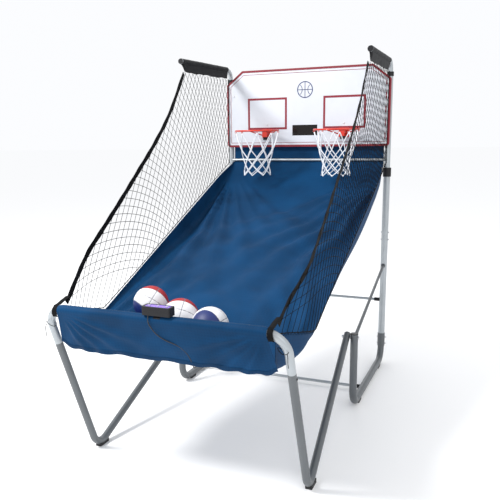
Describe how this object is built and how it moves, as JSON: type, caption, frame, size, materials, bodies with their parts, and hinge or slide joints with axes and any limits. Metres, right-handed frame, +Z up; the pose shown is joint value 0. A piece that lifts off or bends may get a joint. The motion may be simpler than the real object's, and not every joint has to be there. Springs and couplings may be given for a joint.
{
  "type": "basketball hoop machine",
  "caption": "Folding steel-frame arcade basketball game: two hoops on a height-adjustable board, sloping fabric ball return, side nets, score display, controller and balls.",
  "frame": {"origin": "on the floor, midway between the sides and between the front bar and the uprights", "axes": "+X to the player's right, +Y from the player towards the board, +Z up"},
  "size_m": [1.2092, 2.2485, 2.083],
  "materials": {
    "grey_tube": "satin powder coat",
    "light_tube": "satin silver powder coat",
    "black_plastic": "fine moulded grain",
    "black_rubber": "matt",
    "bolt_steel": "zinc plated",
    "blue_cloth": "woven polyester",
    "black_cloth": "woven polyester",
    "black_mesh": "knotted nylon",
    "board_white": "satin sheet",
    "trim_red": "satin moulding",
    "rim_orange": "gloss paint",
    "net_white": "braided nylon",
    "smoked_window": "polished smoked sheet",
    "circuit_board": "solder mask",
    "purple_panel": "back-lit film",
    "button_grey": "soft touch",
    "lead_rubber": "smooth jacket",
    "ball_cover": "pebbled panels"
  },
  "bodies": {
    "rear_frame": {"base_loop_right": "grey_tube", "base_loop_left": "grey_tube", "post_caps": "black_plastic", "rear_sleeves": "grey_tube", "uprights_lower": "grey_tube", "upright_spigots": "bolt_steel", "uprights_upper": "light_tube", "height_collars": "black_plastic", "braces": "grey_tube", "crossbars": "grey_tube", "crossbar_sockets": "grey_tube", "base_feet": "black_rubber", "hinge_bolts": "bolt_steel", "frame_bolts": "bolt_steel", "ramp_sheet": "blue_cloth", "side_net_right": "black_mesh", "side_net_left": "black_mesh"},
    "front_frame": {"front_leg_right": "grey_tube", "front_leg_left": "grey_tube", "front_bar": "light_tube", "leg_caps": "black_plastic", "front_feet": "black_rubber", "joint_buttons": "bolt_steel", "front_apron": "blue_cloth", "ramp_trough": "blue_cloth", "controller_base": "black_plastic", "controller_lid": "black_plastic", "controller_panel": "purple_panel", "controller_circuit": "circuit_board", "controller_strap": "black_cloth", "controller_lead": "lead_rubber", "lead_plug": "black_plastic"},
    "upper_unit": {"inner_posts": "light_tube", "net_arms": "light_tube", "arm_collars": "black_plastic", "arm_tip_caps": "black_plastic", "arm_sleeves": "black_cloth", "upper_crossbar": "light_tube", "ramp_head": "blue_cloth", "backboard": "board_white", "board_trim": "trim_red", "board_brackets": "black_plastic", "board_screws": "bolt_steel", "rims": "rim_orange", "rim_brackets": "rim_orange", "hoop_nets": "net_white", "ball_sensors": "black_plastic", "score_case": "black_plastic", "score_window": "smoked_window", "score_circuit": "circuit_board", "speaker": "black_plastic", "battery_box": "black_plastic"},
    "snap_button_right": {"snap_button_right": "bolt_steel"},
    "snap_button_left": {"snap_button_left": "bolt_steel"},
    "controller_button_1": {"controller_button_1": "button_grey"},
    "controller_button_2": {"controller_button_2": "button_grey"},
    "controller_button_3": {"controller_button_3": "button_grey"},
    "ball_1": {"ball_1": "ball_cover"},
    "ball_2": {"ball_2": "ball_cover"},
    "ball_3": {"ball_3": "ball_cover"}
  },
  "joints": [
    {"name": "board_height", "type": "slide", "parent": "rear_frame", "child": "upper_unit", "axis": [0, 0, 1], "range_m": [0, 0.3048], "deforming": ["ramp_sheet", "side_net_right", "side_net_left"]},
    {"name": "front_fold", "type": "hinge", "parent": "rear_frame", "child": "front_frame", "pos_m": [0, 0.198, 0.446], "axis": [-1, 0, 0], "range_deg": [0, 80], "deforming": ["ramp_sheet", "side_net_right", "side_net_left"]},
    {"name": "snap_right", "type": "slide", "parent": "upper_unit", "child": "snap_button_right", "axis": [0, -1, 0], "range_m": [0, 0.006], "stiffness_N_per_m": 500, "springref_m": -0.004},
    {"name": "snap_left", "type": "slide", "parent": "upper_unit", "child": "snap_button_left", "axis": [0, -1, 0], "range_m": [0, 0.006], "stiffness_N_per_m": 500, "springref_m": -0.004},
    {"name": "press_1", "type": "slide", "parent": "front_frame", "child": "controller_button_1", "axis": [0, 0, -1], "range_m": [0, 0.0015], "stiffness_N_per_m": 400, "springref_m": -0.002},
    {"name": "press_2", "type": "slide", "parent": "front_frame", "child": "controller_button_2", "axis": [0, 0, -1], "range_m": [0, 0.0015], "stiffness_N_per_m": 400, "springref_m": -0.002},
    {"name": "press_3", "type": "slide", "parent": "front_frame", "child": "controller_button_3", "axis": [0, 0, -1], "range_m": [0, 0.0015], "stiffness_N_per_m": 400, "springref_m": -0.002},
    {"name": "lift_ball_1", "type": "slide", "parent": "front_frame", "child": "ball_1", "axis": [0, 0, 1], "range_m": [0, 0.25]},
    {"name": "lift_ball_2", "type": "slide", "parent": "front_frame", "child": "ball_2", "axis": [0, 0, 1], "range_m": [0, 0.25]},
    {"name": "lift_ball_3", "type": "slide", "parent": "front_frame", "child": "ball_3", "axis": [0, 0, 1], "range_m": [0, 0.25]}
  ]
}
